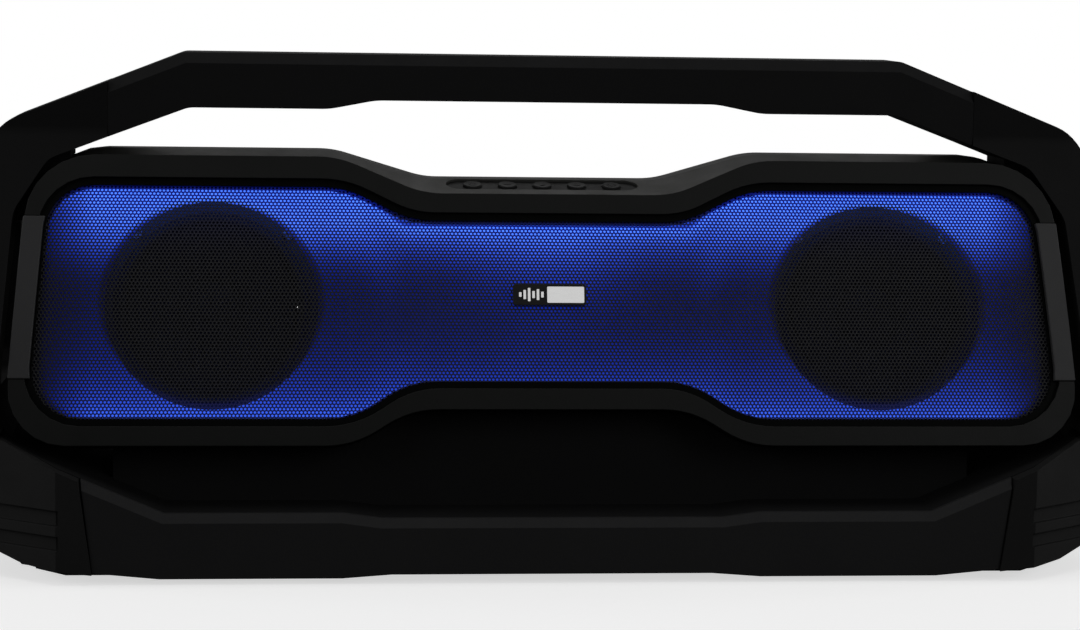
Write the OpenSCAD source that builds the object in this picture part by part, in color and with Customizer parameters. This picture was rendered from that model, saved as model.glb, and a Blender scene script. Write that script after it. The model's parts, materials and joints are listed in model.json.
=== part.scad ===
// Party speaker: a leaned, dog-bone shaped speaker box inside a roll-cage frame with a carrying handle.
// Millimetres. +Z up, the grille faces -Y, origin on the floor under the middle of the base.

/* [Overall] */
// Width over the side arms
cage_w = 550; // [546:1:560]
// Depth over the corner bumpers
base_d = 170; // [168:1:180]
// Height of the top of the handle
cage_h = 242.6; // [241:0.2:248]

/* [Face] */
// Height of the middle of the grille
face_z = 128; // [127.5:0.1:128.5]
// Distance of the middle of the grille in front of the centre plane
face_y = 48; // [47.5:0.1:48.5]
// Backward lean of the grille at its middle, degrees
lean = 17.5; // [17.3:0.1:17.7]
// Radius of the curved grille
face_r = 640; // [635:1:650]

/* [Grille opening] */
// Half width of the grille opening at mid height
grille_side = 239; // [238:0.5:240]
// Height of the wings of the opening above the middle
grille_top = 55; // [54:0.5:56]
// Depth of the wings of the opening below the middle
grille_bottom = 56.5; // [56:0.5:57]
// Half height of the waist of the opening
grille_waist = 38.7; // [38:0.1:39.5]

/* [Drivers] */
// Distance of each driver from the centre plane
driver_x = 159; // [157:0.5:161]
// Diameter of the driver openings in the light panel
driver_d = 100; // [96:1:101]

/* [Controls] */
// Distance between neighbouring buttons
button_pitch = 17; // [16:0.5:18]
// Diameter of a button
button_d = 9; // [8:0.5:10]
// Running gap around a button
button_gap = 0.2; // [0.1:0.05:0.3]

/* [Walls] */
// Wall of the rear housing
wall = 3; // [2.5:0.5:3.5]
// Wall of the base tray
tray_wall = 3; // [2.5:0.5:3.5]

/* [Hidden] */
$fn = 48;

half_w = cage_w / 2;
half_d = base_d / 2;
round_n = 8;        // flats in a rounded corner of an outline
curve_n = 6;        // flats in each half of a waist curve
big = 700;          // longer than the object
cut = 0.5;          // how far a cutter runs past a face
fit_gap = 0.3;      // gap between fixed mouldings
soft_gap = 0.05;    // gap beside a soft part

// layers of the curved front, as radii about the face axis
bezel_out = face_r + 4;
ledge_out = face_r + 2;
ledge_in = face_r + 0.1;
bezel_in = face_r - 4;
grille_in = face_r - 1;
gasket_in = face_r - 2.8;
diffuser_out = face_r - 5;
diffuser_in = face_r - 7;
seal_out = bezel_in - soft_gap;
seal_in = bezel_in - 0.75;
housing_out = bezel_in - 0.8;

side_tilt = 4.3;
// where the bottom S of every outline starts and ends
waist_x = 66;
wing_x = 93;
// outline data: top, bottom, waist top, waist bottom, side, top corner radius, bottom corner radius,
// S radius, and where the top S starts and ends
grille_form = [grille_top, grille_bottom, grille_waist, grille_waist, grille_side, 22, 22, 45, 65, 97];
bezel_form = [grille_top + 14.5, grille_bottom + 12.5, grille_waist + 13, grille_waist + 13.3,
              grille_side + 10, 32, 26, 45, 60, 100];
// the housing's outline in the upright plane, seen from the front
crown_top = 67.9;
crown_form = [crown_top, 67, 54.2, 51, grille_side + 9.3, 36, 26, 45, 57, 102];
// the rising front slope of the housing's top, in a plane tilted by crown_tilt
crown_tilt = 14.5;
slope_form = [65.6, 150, 51.2, 136, grille_side + 9.3, 34, 26, 45, 57, 102];

rear_y = 38;        // rear wall of the housing at the height of the face middle
rear_lean = 18;

// ---------------------------------------------------------------- outlines

function unit(v) = v / norm(v);

// points of a corner at p between the neighbours a and b, rounded to radius r
function corner(a, p, b, r, n) =
  let (u = unit(a - p), v = unit(b - p))
  let (h = acos(u * v) / 2)
  let (c = p + unit(u + v) * r / sin(h))
  let (s = p + u * r / tan(h) - c, e = p + v * r / tan(h) - c)
  let (a0 = atan2(s[1], s[0]), a1 = atan2(e[1], e[0]))
  let (sweep = (a1 - a0 + 540) % 360 - 180)
  [for (i = [0:n]) c + r * [cos(a0 + sweep * i / n), sin(a0 + sweep * i / n)]];

// an outline from rows of [x, y, radius]; radius 0 keeps a corner sharp
function xy(p) = [p[0], p[1]];
function rounded(p, n = round_n) =
  [for (i = [0:len(p) - 1])
    let (a = p[(i + len(p) - 1) % len(p)], b = p[(i + 1) % len(p)])
    each (p[i][2] > 0 ? corner(xy(a), xy(p[i]), xy(b), p[i][2], n) : [xy(p[i])])];

// a right-hand half outline made whole by its mirror image
function both_sides(p) = concat(p, [for (i = [len(p) - 1:-1:0]) [-p[i][0], p[i][1], p[i][2]]]);

// the dog-bone outline, grown outward by g
function bone(f, g) =
  let (slope_t = atan((f[0] - f[2]) / (f[9] - f[8])), slope_b = atan((f[1] - f[3]) / (wing_x - waist_x)))
  let (shift_t = -g * tan(slope_t / 2), shift_b = -g * tan(slope_b / 2))
  let (reach = f[4] + g / cos(side_tilt), lean_x = tan(side_tilt))
  rounded(both_sides([
    [waist_x + shift_b, -f[3] - g, f[7] - g],
    [wing_x + shift_b, -f[1] - g, f[7] + g],
    [reach + lean_x * (f[1] + g), -f[1] - g, f[6] + g],
    [reach - lean_x * (f[0] + g), f[0] + g, f[5] + g],
    [f[9] + shift_t, f[0] + g, f[7] + g],
    [f[8] + shift_t, f[2] + g, f[7] - g]
  ]), curve_n);

// ---------------------------------------------------------------- frames of reference

// x across, y up the face, z out of the grille
module face() { translate([0, -face_y, face_z]) rotate([90 - lean, 0, 0]) children(); }

// x across, y up the rear wall, z out of its back
module rear() { translate([0, rear_y, face_z]) rotate([90 - rear_lean, 0, 180]) children(); }

// an outline in the upright plane, from y0 back to y1
module upright(y0, y1) { translate([0, y1, 0]) rotate([90, 0, 0]) linear_extrude(y1 - y0) children(); }

// an outline in the side plane (its x is depth, its y is height), from x0 to x1
module sideways(x0, x1) { translate([x0, 0, 0]) rotate([90, 0, 90]) linear_extrude(x1 - x0) children(); }

// the solid inside a radius of the curved face, in the face frame
module face_drum(r) {
  translate([-big / 2, 0, -face_r]) rotate([0, 90, 0]) cylinder(r = r, h = big, $fn = 180);
}

// a curved sheet with the dog-bone outline, between two radii
module curved_sheet(f, g, r_in, r_out) {
  difference() {
    intersection() {
      translate([0, 0, -40]) linear_extrude(60) polygon(bone(f, g));
      face_drum(r_out);
    }
    face_drum(r_in);
  }
}

module left_and_right() { children(); mirror([1, 0, 0]) children(); }
module front_and_rear() { children(); mirror([0, 1, 0]) children(); }

module ring(r_out, r_in, z0, z1) {
  difference() {
    translate([0, 0, z0]) cylinder(r = r_out, h = z1 - z0);
    translate([0, 0, z0 - cut]) cylinder(r = r_in, h = z1 - z0 + 2 * cut);
  }
}

// a pan-head screw pointing down, its head's seat at z = 0
module screw(head_r, head_h, shank_r, length) {
  cylinder(r = head_r, h = head_h);
  translate([0, 0, -length]) cylinder(r = shank_r, h = length + 0.01);
}

// the cross recess of a screw head
module recess(head_h, size) {
  translate([-size, -0.5, head_h - 1]) cube([2 * size, 1, 2]);
  translate([-0.5, -size, head_h - 1]) cube([1, 2 * size, 2]);
}

module cross_screw(head_r, head_h, shank_r, length) {
  difference() {
    screw(head_r, head_h, shank_r, length);
    recess(head_h, head_r * 0.6);
  }
}

// ---------------------------------------------------------------- base

bowl_mid_z = 30;
bowl_z = 32.5;
seam_x = 218;
bowl = [[80, bowl_mid_z, 30], [98, bowl_z, 30], [180, bowl_z, 12], [252, 63, 8]];
skirt_y = half_d - 1.5;
skirt_in = half_d - 8;
tray_y = half_d - 8.2;
tray_x = 262;
plate_z = 3;
tray_z = 6;
foot_x = 140;
foot_y = 58;
base_screw_at = [[40, 62], [95, 62], [190, 62], [230, 30]];
corner_x = 229;
corner_y = 50;

// the plan of the base, cut across its four corners
module base_plan(inset) {
  x = half_w - inset;
  y = half_d - inset;
  polygon([[-corner_x, -y], [corner_x, -y], [x, -corner_y], [x, corner_y], [corner_x, y], [-corner_x, y],
           [-x, corner_y], [-x, -corner_y]]);
}

// the cradle under the speaker box, its top shaped to the box's underside
module cradle(inset, top_gap) {
  difference() {
    translate([-205 + inset, -46 + inset, tray_z]) cube([410 - 2 * inset, 88 - 2 * inset, 80]);
    upright(-big / 2, big / 2) translate([0, face_z]) polygon(bone(crown_form, top_gap));
    translate([-big / 2, -big / 2, face_z - 51]) cube([big, big, 100]);
  }
}

module base_tray() {
  profile = rounded(both_sides(concat([[246, tray_z, 0], [tray_x, 20, 4], [tray_x, 67.2, 0]],
                                      [bowl[3], bowl[2], bowl[1], bowl[0]])));
  color([0.07, 0.07, 0.07]) difference() {
    union() {
      intersection() {
        upright(-half_d, half_d) polygon(profile);
        linear_extrude(100) base_plan(half_d - tray_y);
      }
      cradle(0, 0.1);
    }
    // the space inside, open underneath
    translate([-238, -70, 0]) cube([476, 140, bowl_mid_z - tray_wall]);
    cradle(tray_wall, 0.1 + tray_wall);
    // slots for the tongues of the arms
    left_and_right() translate([251.7, -tongue_half - fit_gap, 21.7])
      cube([20, 2 * (tongue_half + fit_gap), 60]);
  }
  color([0.07, 0.07, 0.07]) left_and_right() front_and_rear() for (p = base_screw_at)
    translate([p[0], p[1], tray_z]) ring(4.5, 1.55, 0, bowl_mid_z - tray_z);
}

module base_plate() {
  color([0.05, 0.05, 0.05]) difference() {
    translate([0, 0, plate_z]) linear_extrude(tray_z - plate_z)
      polygon([[-240, -60], [-225, -76], [225, -76], [240, -60],
               [240, 60], [225, 76], [-225, 76], [-240, 60]]);
    left_and_right() front_and_rear() for (p = base_screw_at) translate([p[0], p[1], 0]) {
      cylinder(r = 1.7, h = 20);
      cylinder(r = 3.5, h = plate_z + 1.7);
    }
  }
}

module base_screws() {
  color([0.6, 0.6, 0.6]) left_and_right() front_and_rear() for (p = base_screw_at)
    translate([p[0], p[1], plate_z + 1.7]) rotate([180, 0, 0]) cross_screw(3.1, 1.6, 1.5, 12);
}

module foot() {
  linear_extrude(plate_z - soft_gap) polygon(rounded([[-38, -8, 8], [38, -8, 8], [38, 8, 8], [-38, 8, 8]]));
}

module feet() {
  color([0.03, 0.03, 0.03]) left_and_right() front_and_rear() translate([foot_x, foot_y, 0]) foot();
}

// a length of skirt moulding under a straight top edge, with a chamfer along its front
module skirt_run(x0, x1) {
  chamfer = 4;
  drop = 60;
  sideways(x0, x1) polygon([[-skirt_y, -drop], [-skirt_y, -chamfer], [-skirt_y + chamfer, 0], [-skirt_in, 0],
                            [-skirt_in, -drop]]);
}

module skirt() {
  slope = atan((bowl[3][1] - bowl_z) / (bowl[3][0] - bowl[2][0]));
  rise = atan((bowl_z - bowl_mid_z) / (bowl[1][0] - bowl[0][0]));
  difference() {
    intersection() {
      union() {
        translate([0, 0, bowl_mid_z]) skirt_run(-82, 82);
        left_and_right() {
          // the short rise beside the middle
          intersection() {
            translate([0, 0, bowl_z]) skirt_run(78, 98);
            translate([bowl[0][0], 0, bowl_mid_z]) rotate([0, -rise, 0]) skirt_run(-2, 30);
          }
          translate([0, 0, bowl_z]) skirt_run(98, 182);
          translate([bowl[2][0], 0, bowl_z]) rotate([0, -slope, 0]) skirt_run(-20, 60);
        }
      }
      upright(-half_d, 0) polygon([[-212, 0], [212, 0], [seam_x + 0.4, 52], [seam_x + 0.4, 60],
                                   [-seam_x - 0.4, 60], [-seam_x - 0.4, 52]]);
    }
    // the lower edge, lifted in the middle and towards both ends
    upright(-half_d - 1, 0) polygon(rounded(both_sides([[230, -50, 0], [230, 7.2, 0], [213, 5.4, 0],
      [182, 2.5, 0], [98, 2.5, 0], [75, 4.2, 0]])));
  }
}

module front_skirt() { color([0.09, 0.09, 0.09]) skirt(); }
module rear_skirt() { color([0.09, 0.09, 0.09]) mirror([0, 1, 0]) skirt(); }

module bumper() {
  slot_depth = 3.5;
  difference() {
    intersection() {
      upright(-half_d, half_d) polygon(rounded([[212.8, 4.6, 0], [245, 8, 10], [266, 15, 12],
        [half_w, 32, 14], [half_w, 73, 6], [252, 63, 8], [seam_x + 0.9, 48.4, 0]]));
      linear_extrude(100) base_plan(0);
    }
    translate([0, 0, -cut]) linear_extrude(100) intersection() {
      base_plan(half_d - skirt_in + 0.1);
      square([2 * tray_x + 0.6, base_d], center = true);
    }
    // two grip slots round each corner
    for (z = [[16.2, 22.7], [27.5, 34.7]]) difference() {
      translate([corner_x - 1, -half_d - 1, z[0]]) cube([80, base_d + 2, z[1] - z[0]]);
      linear_extrude(100) base_plan(slot_depth);
      translate([corner_x, -corner_y + 12, 0]) cube([80, 2 * corner_y - 24, 100]);
    }
  }
}

module right_bumper() { color([0.05, 0.05, 0.05]) bumper(); }
module left_bumper() { color([0.05, 0.05, 0.05]) mirror([1, 0, 0]) bumper(); }

// ---------------------------------------------------------------- cage

handle_front = 22;
handle_rear = 20;
handle_seam = 208.5;
handle_flat = 173;
handle_wall = 5;
shoulder = [264, 206.5];
shoulder_r = 24;
// the underside of the handle: its height beside the grip and over it, and where it turns down to the arms
under_side_z = 216.6;
under_grip_z = 220.9;
under_turn_x = 170.5;
under_grip_x = 82;
under_fall = 0.376;
tongue_front = 17.8;
tongue_rear = 15.8;
arm_foot_z = 67.7;
tongue_half = 50;
arm_front = 80;
arm_rear = 72;
handle_low_z = 205;
web_y = 16;

function shoulder_z(x) = cage_h + (shoulder[1] - cage_h) * (x - handle_flat) / (shoulder[0] - handle_flat);
function under_z(x) = under_side_z - under_fall * (x - under_turn_x);

// the side view of the legs: an A with its window cut out
module leg_side() {
  difference() {
    polygon(rounded([[-arm_front, arm_foot_z, 0], [-handle_front, handle_low_z, 12],
      [-handle_front, 300, 0], [handle_rear, 300, 0], [handle_rear, handle_low_z, 12],
      [arm_rear, arm_foot_z, 0], [tongue_half, arm_foot_z, 0], [tongue_half, 0, 0], [-tongue_half, 0, 0],
      [-tongue_half, arm_foot_z, 0]]));
    polygon(rounded([[-46, 86, 8], [40, 86, 8], [12, 160, 8], [-16, 160, 8]]));
  }
}

module arm_leg() {
  intersection() {
    upright(-half_d, half_d) polygon(rounded([
      [handle_seam + 0.15, shoulder_z(handle_seam), 0], [shoulder[0], shoulder[1], shoulder_r],
      [half_w, 78, 0], [half_w, 73.4, 0], [262, 67.75, 0], [tray_x, 22, 0], [252, 22, 0], [252, 63.4, 0],
      [258.5, 72, 8], [251.5, 168, 14], [236, under_z(236), 12],
      [handle_seam + 0.15, under_z(handle_seam), 0]]));
    sideways(0, big) leg_side();
    linear_extrude(300) base_plan(0);
  }
}

// a web behind the bezel that closes the corner between the arm and the speaker box
module arm_web() {
  upright(-web_y, web_y)
    polygon([[226, under_z(226) + 2], [256, 185], [256, 162], [246, 162], [240, 172], [226, 180]]);
}

// tongue that the hollow handle slides over, drilled for the outer screw of the handle
module arm_tongue() {
  tongue_x = handle_seam - 24;
  difference() {
    upright(-tongue_front + fit_gap, tongue_rear - fit_gap) polygon([
      [handle_seam + 0.5, shoulder_z(handle_seam) - 6], [handle_seam + 0.5, under_z(handle_seam) + 5.5],
      [tongue_x, under_z(tongue_x) + 5], [tongue_x, shoulder_z(tongue_x) - 6]]);
    handle_screw_place(handle_screw_x[2]) cylinder(r = 1.55, h = 14);
  }
}

// one side of the cage, relieved where it passes close to the speaker box
module arm() {
  difference() {
    union() {
      arm_leg();
      arm_web();
    }
    upright(-big / 2, big / 2) translate([0, face_z]) polygon(bone(crown_form, fit_gap));
  }
  arm_tongue();
}

module right_arm() { color([0.05, 0.05, 0.05]) arm(); }
module left_arm() { color([0.05, 0.05, 0.05]) mirror([1, 0, 0]) arm(); }

handle_screw_x = [30, 120, 192];
screw_sink = 1.6;
// the handle's underside, lifted by h
function underside(h) = [[handle_seam, under_z(handle_seam) + h, 0], [under_turn_x, under_side_z + h, 14],
                         [104, under_side_z + h, 40], [under_grip_x, under_grip_z + h, 40]];
function reversed(p) = [for (i = [len(p) - 1:-1:0]) p[i]];
function left_half(p) = [for (q = p) [-q[0], q[1], q[2]]];

module handle_shell() {
  chamfer = 5;
  side = chamfer * sqrt(2);
  post_top = cage_h + 2 - handle_wall;
  slope = atan((cage_h - shoulder[1]) / (shoulder[0] - handle_flat));
  color([0.04, 0.04, 0.04]) difference() {
    upright(-handle_front, handle_rear) polygon(rounded(both_sides(concat(
      [[handle_flat, cage_h, 10], [handle_seam, shoulder_z(handle_seam), 0]], underside(0)))));
    // the hollow, open underneath
    upright(-tongue_front, tongue_rear) polygon(rounded(both_sides(concat(
      [[handle_flat - 2, cage_h - handle_wall, 8], [handle_seam + 1, shoulder_z(handle_seam) - 5.2, 0]],
      [[handle_seam + 1, 150, 0]]))));
    // chamfers along the top edges
    for (y = [-handle_front, handle_rear]) {
      translate([0, y, cage_h]) rotate([45, 0, 0]) cube([big, side, side], center = true);
      left_and_right() translate([handle_flat, y, cage_h]) rotate([0, slope, 0]) rotate([45, 0, 0])
        cube([200, side, side], center = true);
    }
  }
  // posts that take the screws of the cover
  color([0.04, 0.04, 0.04]) left_and_right() for (x = [handle_screw_x[0], handle_screw_x[1]])
    handle_screw_place(x) ring(4, 1.55, 3.2 - screw_sink, post_top - handle_screw_z(x) - screw_sink);
}

module handle_cover() {
  strip = rounded(concat(underside(0), left_half(reversed(underside(0))), left_half(underside(3)),
                         reversed(underside(3))), 4);
  color([0.06, 0.06, 0.06]) difference() {
    upright(-tongue_front + fit_gap, tongue_rear - fit_gap) polygon(strip);
    left_and_right() for (x = handle_screw_x) handle_screw_place(x) {
      cylinder(r = 1.65, h = 20, center = true);
      translate([0, 0, -10]) cylinder(r = 3.1, h = 10);
    }
  }
}

// the seat of a handle screw, sunk into the cover, with z up into the handle
function handle_screw_z(x) = x < under_grip_x ? under_grip_z : x < under_turn_x ? under_side_z : under_z(x);
module handle_screw_place(x) {
  turn = x > under_turn_x ? atan(under_fall) : 0;
  translate([x, -1, handle_screw_z(x)]) rotate([0, turn, 0]) translate([0, 0, screw_sink]) children();
}

module handle_screws() {
  color([0.6, 0.6, 0.6]) left_and_right() for (x = handle_screw_x)
    handle_screw_place(x) rotate([180, 0, 0]) cross_screw(2.8, 1.4, 1.5, 10);
}

// ---------------------------------------------------------------- front

trim_top = 39;
trim_bottom = -38;

module trim_block(gap) {
  translate([0, trim_bottom - gap, -40]) cube([big, trim_top - trim_bottom + 2 * gap, 80]);
}

module front_bezel() {
  color([0.08, 0.085, 0.08]) face() difference() {
    curved_sheet(bezel_form, 0, bezel_in, bezel_out);
    // the opening down to the ledge, the opening through it and the seat of the grille behind it
    difference() {
      translate([0, 0, -20]) linear_extrude(40) polygon(bone(grille_form, 3.5));
      face_drum(ledge_out);
    }
    translate([0, 0, -40]) linear_extrude(60) polygon(bone(grille_form, 0));
    intersection() {
      translate([0, 0, -40]) linear_extrude(60) polygon(bone(grille_form, 3.3));
      face_drum(ledge_in);
    }
    // pockets for the side trims
    left_and_right() difference() {
      trim_block(fit_gap);
      translate([0, 0, -40]) linear_extrude(80) polygon(bone(grille_form, 0.7));
      face_drum(face_r + 1);
    }
  }
}

module side_trim() {
  face() difference() {
    intersection() {
      curved_sheet(bezel_form, 0.6, face_r + 1.1, bezel_out + 0.5);
      trim_block(0);
    }
    translate([0, 0, -40]) linear_extrude(80) polygon(bone(grille_form, 1));
  }
}

module right_side_trim() { color([0.2, 0.2, 0.2]) side_trim(); }
module left_side_trim() { color([0.2, 0.2, 0.2]) mirror([1, 0, 0]) side_trim(); }

module grille() { color([0.12, 0.12, 0.14]) face() curved_sheet(grille_form, 3, grille_in, face_r); }

module grille_gasket() {
  color([0.05, 0.05, 0.05]) face() difference() {
    curved_sheet(grille_form, 3, gasket_in, grille_in - soft_gap);
    translate([0, 0, -40]) linear_extrude(60) polygon(bone(grille_form, -1));
  }
}

// a plain badge plate on the middle of the grille
module badge() {
  color([0.75, 0.75, 0.75]) face() translate([0, 3, 0.02]) linear_extrude(1.4)
    polygon(rounded([[-17.5, -5, 1.2], [17.5, -5, 1.2], [17.5, 5, 1.2], [-17.5, 5, 1.2]], 4));
}

module light_diffuser() {
  color([0.35, 0.45, 1]) face() difference() {
    curved_sheet(grille_form, 2, diffuser_in, diffuser_out);
    drivers() translate([0, 0, -40]) cylinder(r = driver_d / 2, h = 80);
  }
}

led_step = 12;
strip_z = -16;

// one straight light strip: its board and its light-emitting diodes
module strip_run(x0, x1, y) {
  count = floor((x1 - x0) / led_step);
  translate([x0, y - 3, strip_z]) cube([x1 - x0, 6, 1]);
  for (i = [0:count - 1])
    translate([x0 + (i + 0.5) * led_step - 1.75, y - 1.75, strip_z + 1]) cube([3.5, 3.5, 1.4]);
}

module strip_set(wing_y, mid_y) {
  strip_run(-48, 48, mid_y);
  left_and_right() strip_run(214, 232, wing_y);
  left_and_right() strip_run(96, 108, wing_y);
}

module led_strip_top() { color([0.9, 0.95, 1]) face() strip_set(50.5, 33); }
module led_strip_bottom() { color([0.9, 0.95, 1]) face() strip_set(-51, -33); }

// ---------------------------------------------------------------- drivers

baffle_z = -24;
baffle_top = -18;
flange_r = 54;
cone_r = 40;
neck_r = 13.2;
magnet_z = [-58, -42];
screw_ring = 50.8;

driver_y = -1;

// x across, y up the face, z out of the grille, at the middle of one driver
module left_driver() { face() translate([-driver_x, driver_y, 0]) children(); }
module right_driver() { face() translate([driver_x, driver_y, 0]) children(); }
module drivers() { left_and_right() translate([driver_x, driver_y, 0]) children(); }

module baffle() {
  color([0.1, 0.1, 0.1]) face() difference() {
    translate([0, 0, baffle_z]) linear_extrude(baffle_top - baffle_z) polygon(bone(grille_form, 1));
    drivers() {
      translate([0, 0, -40]) cylinder(r = 47, h = 40);
      for (a = [45:90:315]) rotate([0, 0, a]) translate([screw_ring, 0, -40]) cylinder(r = 1.55, h = 40);
    }
  }
}

module woofer_screws() {
  color([0.6, 0.6, 0.6]) face() drivers() for (a = [45:90:315]) rotate([0, 0, a])
    translate([screw_ring, 0, baffle_top + 2]) cross_screw(2.6, 1.4, 1.5, 7);
}

module woofer_basket() {
  difference() {
    union() {
      ring(flange_r, 46.5, baffle_top, baffle_top + 2);
      difference() {
        translate([0, 0, -40]) cylinder(r1 = 36, r2 = 46.6, h = 40 + baffle_top + 2);
        translate([0, 0, -38]) cylinder(r1 = 34.5, r2 = 45, h = 40 + baffle_top + 0.01);
        // windows between the ribs
        for (a = [0:60:300]) rotate([0, 0, a]) translate([30, -13, -35]) cube([30, 26, 13]);
      }
    }
    translate([0, 0, -50]) cylinder(r = 17, h = 20);
    for (a = [45:90:315]) rotate([0, 0, a]) translate([screw_ring, 0, -20]) cylinder(r = 1.6, h = 10);
  }
}

module left_woofer_basket() { color([0.2, 0.2, 0.22]) left_driver() woofer_basket(); }
module right_woofer_basket() { color([0.2, 0.2, 0.22]) right_driver() woofer_basket(); }

// back plate with its pole, ferrite ring and top plate
module woofer_magnet() {
  gap_in = 11.7;
  gap_out = 13.8;
  translate([0, 0, magnet_z[0]]) cylinder(r = 33, h = 3);
  translate([0, 0, magnet_z[0]]) cylinder(r = gap_in, h = magnet_z[1] - magnet_z[0] + 2);
  ring(35, 17, magnet_z[0] + 3, magnet_z[1] - 1);
  ring(33, gap_out, magnet_z[1] - 1.01, magnet_z[1] + 1.95);
}

module left_woofer_magnet() { color([0.15, 0.15, 0.16]) left_driver() woofer_magnet(); }
module right_woofer_magnet() { color([0.15, 0.15, 0.16]) right_driver() woofer_magnet(); }

// a rubber half roll between a flat outer land and a flat inner land
module half_roll(r_in, r_out, r_land, thick, z) {
  mid = (r_in + r_out) / 2;
  roll = (r_out - r_in) / 2;
  translate([0, 0, z]) rotate_extrude() {
    difference() {
      translate([mid, 0]) circle(r = roll);
      translate([mid, 0]) circle(r = roll - thick);
      translate([mid - roll - 1, -roll - 1]) square([2 * roll + 2, roll + 1]);
    }
    translate([r_out - thick, 0]) square([r_land - r_out + thick, thick]);
  }
}

module woofer_surround() { half_roll(cone_r + 0.3, 45.2, 46.3, 0.8, baffle_top + 2 + soft_gap); }
module left_woofer_surround() { color([0.06, 0.06, 0.06]) left_driver() woofer_surround(); }
module right_woofer_surround() { color([0.06, 0.06, 0.06]) right_driver() woofer_surround(); }

// a corrugated disc that centres the voice coil
module woofer_spider() {
  inner = neck_r + 0.35;
  outer = 35.1;
  waves = 4;
  steps = 48;
  top = [for (i = [0:steps]) [inner + (outer - inner) * i / steps, 0.6 * sin(360 * waves * i / steps)]];
  low = [for (i = [steps:-1:0]) [top[i][0], top[i][1] - 0.6]];
  translate([0, 0, -36]) rotate_extrude() polygon(concat(top, low));
}
module left_woofer_spider() { color([0.75, 0.6, 0.25]) left_driver() woofer_spider(); }
module right_woofer_spider() { color([0.75, 0.6, 0.25]) right_driver() woofer_spider(); }

// cone, dust cap and voice coil former
module woofer_cone() {
  rim = baffle_top + 2;
  neck = -31;
  coil_low = -47;
  dome_r = 22;
  cap_r = 15;
  cap_z = neck + 2.4;
  rotate_extrude() polygon([[neck_r - 0.8, neck], [neck_r, neck], [cone_r, rim - 0.4], [cone_r, rim + 0.6],
                            [cone_r - 1.2, rim + 0.6], [neck_r - 0.8, neck + 1.2]]);
  ring(neck_r - 0.4, neck_r - 1, coil_low, neck + 0.5);
  // dust cap
  intersection() {
    translate([0, 0, cap_z - sqrt(dome_r * dome_r - cap_r * cap_r)]) difference() {
      sphere(r = dome_r);
      sphere(r = dome_r - 0.8);
    }
    translate([0, 0, cap_z - 2]) cylinder(r = cap_r, h = 30);
  }
}
module left_woofer_cone() { color([0.1, 0.1, 0.1]) left_driver() woofer_cone(); }
module right_woofer_cone() { color([0.1, 0.1, 0.1]) right_driver() woofer_cone(); }

// ---------------------------------------------------------------- rear housing

radiator_x = 150;
radiator_hole = 45;
radiator_y = -2;
port_y = -6;
port_w = 84;
port_h = 24;
housing_screw_at = [[-228, 42], [228, 42], [-232, -50], [232, -50],
                    [-84, 44], [84, 44], [-84, -52], [84, -52]];

module housing_volume(inset, y_front) {
  rear_top = rear_y - inset / cos(rear_lean);
  lift = tan(rear_lean);
  low = crown_form[1] - inset - 0.3;
  high = crown_top - inset;
  intersection() {
    upright(y_front, 90) translate([0, face_z]) polygon(bone(crown_form, -inset));
    translate([0, 0, face_z]) rotate([90 + crown_tilt, 0, 0]) translate([0, 0, -120]) linear_extrude(240)
      polygon(bone(slope_form, -inset));
    sideways(-big / 2, big / 2) polygon(rounded([[y_front, face_z - low, 0],
      [rear_top + lift * low, face_z - low, 7], [rear_top - lift * high, face_z + high, 6],
      [rear_top - lift * high - 20, face_z + high + 5, 0], [y_front, face_z + high + 5, 0]], 5));
    if (inset == 0) face() face_drum(housing_out);
  }
}

pill_w = 94;
pill_d = 15;
panel_y = -3;
panel_drop = 1;

// x across, z out of the sloping top at the control panel's middle
module top_slope() {
  z = face_z + slope_form[2] / cos(crown_tilt) + panel_y * tan(crown_tilt);
  translate([0, panel_y, z]) rotate([crown_tilt, 0, 0]) children();
}

module pill(w, d, z0, z1) {
  r = d / 2 - 0.01;
  translate([0, 0, z0]) linear_extrude(z1 - z0)
    polygon(rounded([[-w / 2, -d / 2, r], [w / 2, -d / 2, r], [w / 2, d / 2, r], [-w / 2, d / 2, r]], 12));
}

module rear_housing() {
  color([0.09, 0.09, 0.085]) difference() {
    union() {
      difference() {
        housing_volume(0, -100);
        housing_volume(wall, -101);
      }
      rear() for (p = housing_screw_at) translate([p[0], p[1], 0]) ring(4.5, 1.3, -12, -wall + 0.5);
    }
    rear() {
      // openings for the passive radiators, the screws and the port panel
      left_and_right() translate([radiator_x, radiator_y, -20]) cylinder(r = radiator_hole, h = 40);
      for (p = housing_screw_at) translate([p[0], p[1], -20]) cylinder(r = 1.6, h = 40);
      translate([-port_w / 2, port_y - port_h / 2, -20]) cube([port_w, port_h, 40]);
    }
    // pocket and opening for the control panel
    top_slope() pill(pill_w, pill_d, -2.2, 10);
    top_slope() pill(pill_w - 6, pill_d - 5, -20, 10);
  }
}

module housing_seal() {
  color([0.03, 0.03, 0.03]) face() difference() {
    curved_sheet(bezel_form, -2.2, seal_in, seal_out);
    translate([0, 0, -40]) linear_extrude(60) polygon(bone(bezel_form, -4.2));
  }
}

module housing_screws() {
  color([0.6, 0.6, 0.6]) rear() for (p = housing_screw_at)
    translate([p[0], p[1], 0]) cross_screw(3.2, 1.8, 1.25, 11);
}

frame_r = 52;
frame_in = 44;
plate_r = 34;

module radiators() { left_and_right() translate([radiator_x, radiator_y, 0]) children(); }

module radiator_frames() {
  color([0.1, 0.1, 0.1]) rear() radiators() rotate_extrude()
    polygon([[frame_in, -4], [radiator_hole - 0.2, -4], [radiator_hole - 0.2, 0.1], [frame_r, 0.1],
             [frame_r, 2], [frame_r - 1.6, 3.6], [frame_in + 1, 3.6], [frame_in, 2.6]]);
}

module radiator_surrounds() {
  color([0.04, 0.04, 0.04]) rear() radiators()
    half_roll(plate_r + 0.4, frame_in - 0.9, frame_in - soft_gap, 0.9, -1.5);
}

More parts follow.
